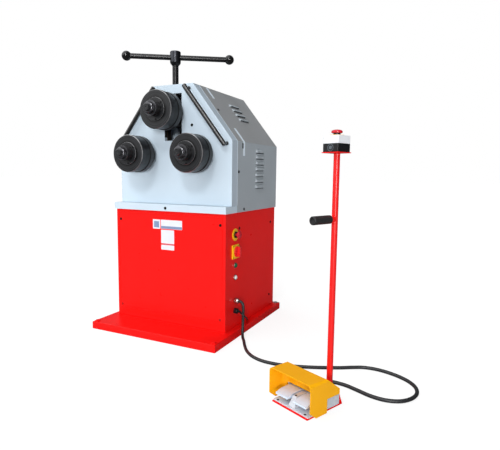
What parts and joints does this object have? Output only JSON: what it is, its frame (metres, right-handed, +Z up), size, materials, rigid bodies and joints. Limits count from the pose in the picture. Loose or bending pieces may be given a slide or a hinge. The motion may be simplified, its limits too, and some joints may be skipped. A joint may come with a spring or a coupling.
{
  "type": "ring roller",
  "caption": "Floor-standing motor-driven ring roller: forming rollers on a house-shaped head, screw spindle with a handle bar, sheet-metal cabinet on a base tray, and a pedal stand on a cable.",
  "frame": {"origin": "on the floor under the middle of the base tray, on the underside of the tray's centre rib", "axes": "+Z up, rollers and cabinet front facing -Y, controls on the +X side, pedal stand beyond +X"},
  "size_m": [1.5702, 1.3976, 1.3831],
  "materials": {
    "red_paint": "gloss powder coat",
    "light_grey_paint": "satin powder coat",
    "mid_grey_paint": "satin powder coat",
    "black_steel": "blackened and oiled, semi-gloss",
    "bright_steel": "turned and ground",
    "bronze": "turned",
    "motor_paint": "painted casting",
    "yellow_paint": "satin paint on folded sheet",
    "grey_casting": "painted casting",
    "yellow_plastic": "gloss",
    "red_plastic": "gloss",
    "green_plastic": "gloss",
    "white_plastic": "satin",
    "black_plastic": "matte",
    "nickel": "nickel-plated brass",
    "black_rubber": "satin sheath"
  },
  "bodies": {
    "frame": {"base_tray": "red_paint", "cabinet_shell": "red_paint", "cabinet_front_panel": "red_paint", "electrical_panel": "bright_steel", "head_bed": "light_grey_paint", "head_front_plate": "light_grey_paint", "head_rear_plate": "light_grey_paint", "head_cover": "mid_grey_paint", "left_shaft_bearing": "bright_steel", "right_shaft_bearing": "bright_steel", "worm_gearbox": "motor_paint", "drive_motor": "motor_paint", "spindle_nut": "bronze", "left_guide_bar": "black_steel", "right_guide_bar": "black_steel", "estop_base": "yellow_plastic", "main_switch_base": "yellow_plastic", "start_button_bezel": "nickel", "indicator_lamp": "white_plastic", "pedal_cable_gland": "nickel", "mains_cord_gland": "black_plastic", "pedal_stand": "red_paint", "pedal_casting": "grey_casting", "pedal_guard": "yellow_paint", "stand_grip": "black_rubber", "stand_box_lower": "black_plastic", "stand_box_upper": "white_plastic", "pedal_cable": "black_rubber", "mains_cord": "black_rubber", "mains_coil": "black_rubber", "mains_plug": "black_plastic"},
    "slide": {"slide_block": "bright_steel", "top_shaft_bearing": "bright_steel"},
    "screw": {"spindle": "black_steel", "handle_bar": "black_steel", "handle_ball": "black_plastic"},
    "top_roller": {"top_roller_shaft": "black_steel", "top_roller_front_disc": "black_steel", "top_roller_rear_disc": "black_steel", "top_roller_collar": "black_steel", "top_roller_nut": "black_steel"},
    "left_roller": {"left_roller_shaft": "black_steel", "left_roller_front_disc": "black_steel", "left_roller_rear_disc": "black_steel", "left_roller_collar": "black_steel", "left_roller_nut": "black_steel", "left_drive_gear": "bright_steel"},
    "right_roller": {"right_roller_shaft": "black_steel", "right_roller_front_disc": "black_steel", "right_roller_rear_disc": "black_steel", "right_roller_collar": "black_steel", "right_roller_nut": "black_steel", "right_drive_gear": "bright_steel"},
    "pinion": {"drive_pinion": "bright_steel"},
    "stop_button": {"estop_mushroom": "red_plastic"},
    "switch_knob": {"main_switch_knob": "red_plastic"},
    "start_button": {"start_button_cap": "green_plastic"},
    "stand_stop_button": {"stand_estop_mushroom": "red_plastic"},
    "left_foot_pedal": {"left_pedal": "grey_casting"},
    "right_foot_pedal": {"right_pedal": "grey_casting"}
  },
  "joints": [
    {"name": "block_slide", "type": "slide", "parent": "frame", "child": "slide", "axis": [0, 0, 1], "range_m": [-0.07, 0.03]},
    {"name": "spindle_turn", "type": "hinge", "parent": "slide", "child": "screw", "pos_m": [0, -0.1562, 1.3], "axis": [0, 0, 1], "range_deg": [-4200, 1800]},
    {"name": "top_roller_turn", "type": "hinge", "parent": "slide", "child": "top_roller", "pos_m": [0, -0.25, 1.086], "axis": [0, 1, 0], "continuous": true},
    {"name": "left_roller_turn", "type": "hinge", "parent": "frame", "child": "left_roller", "pos_m": [-0.1665, -0.25, 0.884], "axis": [0, 1, 0], "continuous": true},
    {"name": "right_roller_turn", "type": "hinge", "parent": "frame", "child": "right_roller", "pos_m": [0.1665, -0.25, 0.884], "axis": [0, 1, 0], "continuous": true},
    {"name": "pinion_turn", "type": "hinge", "parent": "frame", "child": "pinion", "pos_m": [0, -0.02, 0.884], "axis": [0, 1, 0], "continuous": true},
    {"name": "estop_push", "type": "slide", "parent": "frame", "child": "stop_button", "axis": [-1, 0, 0], "range_m": [0, 0.005]},
    {"name": "main_switch_turn", "type": "hinge", "parent": "frame", "child": "switch_knob", "pos_m": [0.34, -0.1335, 0.417], "axis": [1, 0, 0], "range_deg": [0, 90]},
    {"name": "start_button_push", "type": "slide", "parent": "frame", "child": "start_button", "axis": [-1, 0, 0], "range_m": [0, 0.004], "stiffness_N_per_m": 600, "springref_m": -0.002},
    {"name": "stand_estop_push", "type": "slide", "parent": "frame", "child": "stand_stop_button", "axis": [0, 0, -1], "range_m": [0, 0.005]},
    {"name": "left_pedal_press", "type": "hinge", "parent": "frame", "child": "left_foot_pedal", "pos_m": [0.863, -0.6153, 0.038], "axis": [0.9117, -0.4109, 0], "range_deg": [0, 8], "stiffness_Nm_per_rad": 12, "springref_deg": -4.58},
    {"name": "right_pedal_press", "type": "hinge", "parent": "frame", "child": "right_foot_pedal", "pos_m": [0.863, -0.6153, 0.038], "axis": [0.9117, -0.4109, 0], "range_deg": [0, 8], "stiffness_Nm_per_rad": 12, "springref_deg": -4.58}
  ],
  "couplings": [
    {"joint": "block_slide", "follows": "spindle_turn", "m_per_rad": 0.00095493},
    {"joint": "right_roller_turn", "follows": "left_roller_turn", "ratio": 1},
    {"joint": "pinion_turn", "follows": "left_roller_turn", "ratio": -2.25}
  ]
}
